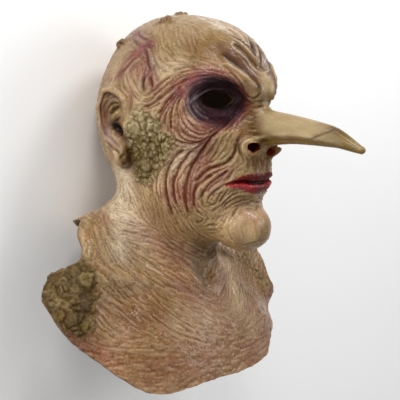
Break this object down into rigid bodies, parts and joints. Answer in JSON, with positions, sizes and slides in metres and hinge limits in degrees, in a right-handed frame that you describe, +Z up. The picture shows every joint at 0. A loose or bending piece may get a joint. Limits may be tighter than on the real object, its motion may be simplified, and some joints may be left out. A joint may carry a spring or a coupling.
{
  "type": "latex witch mask",
  "caption": "Hollow full-head latex mask of an old witch: long drooping pointed nose, warts, deep wrinkles, ears, cut eye holes, and a neck and shoulder bib, lying on its back.",
  "frame": {"origin": "centre of the bounding box in plan, on the surface it lies on", "axes": "+X from the crown toward the open neck and bib (the longest extent), +Y toward the mask's left side, +Z up, the way the nose points as it lies on its back"},
  "size_m": [0.416, 0.3984, 0.3523],
  "materials": {
    "latex": "semi-gloss painted latex"
  },
  "bodies": {
    "root": {"mask_shell": "latex"}
  },
  "joints": []
}
